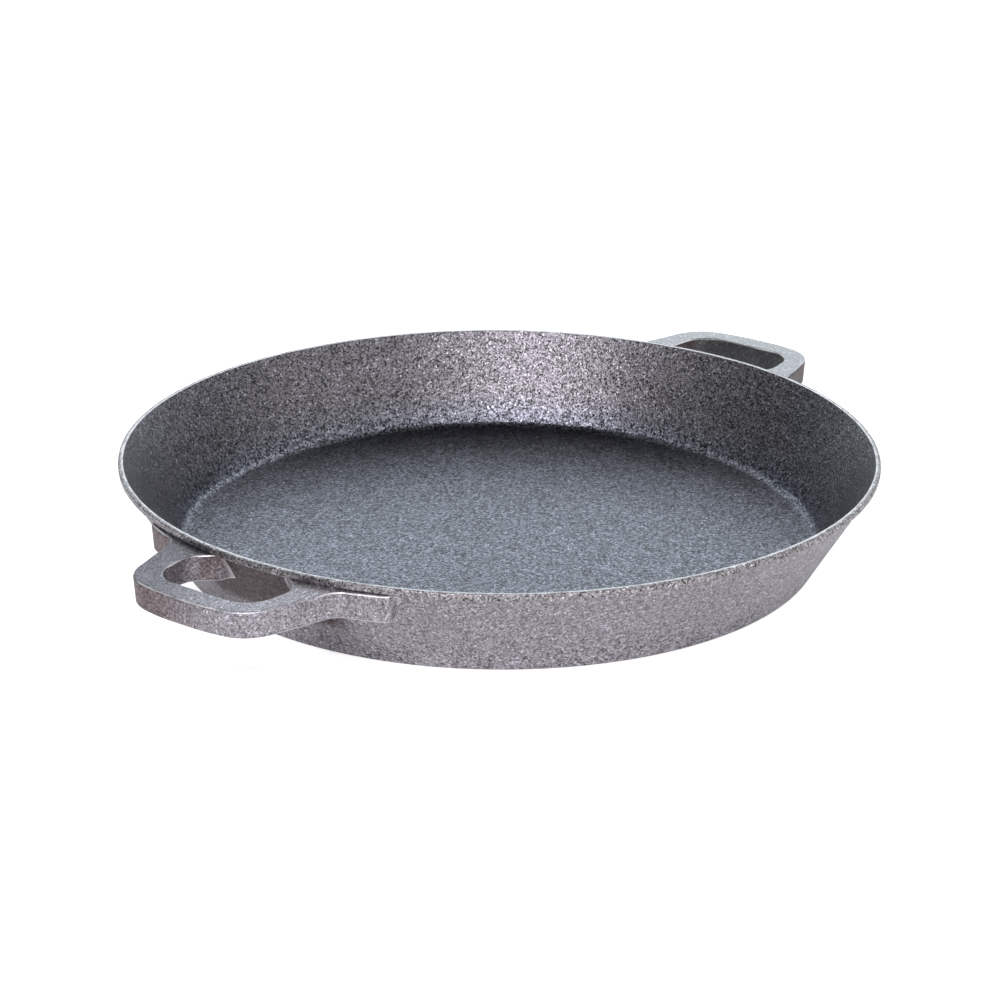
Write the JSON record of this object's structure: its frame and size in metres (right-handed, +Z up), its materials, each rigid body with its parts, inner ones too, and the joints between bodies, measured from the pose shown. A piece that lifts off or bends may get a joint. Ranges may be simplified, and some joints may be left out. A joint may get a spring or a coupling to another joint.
{
  "type": "cast iron skillet",
  "caption": "Wide shallow round cast iron frying pan with sloping walls, a thick rim and a flat loop handle on each side.",
  "frame": {"origin": "centre of the flat underside", "axes": "+Z up through the middle of the pan, +X towards one loop handle, -X towards the other"},
  "size_m": [0.621, 0.5, 0.066],
  "materials": {
    "cast_iron": "sand-cast, seasoned, fine speckled grain",
    "worn_iron": "rim edge rubbed bright"
  },
  "bodies": {
    "root": {"pan_floor": "cast_iron", "side_wall": "cast_iron", "rim_bead": "worn_iron", "handle_left": "cast_iron", "handle_right": "cast_iron"}
  },
  "joints": []
}
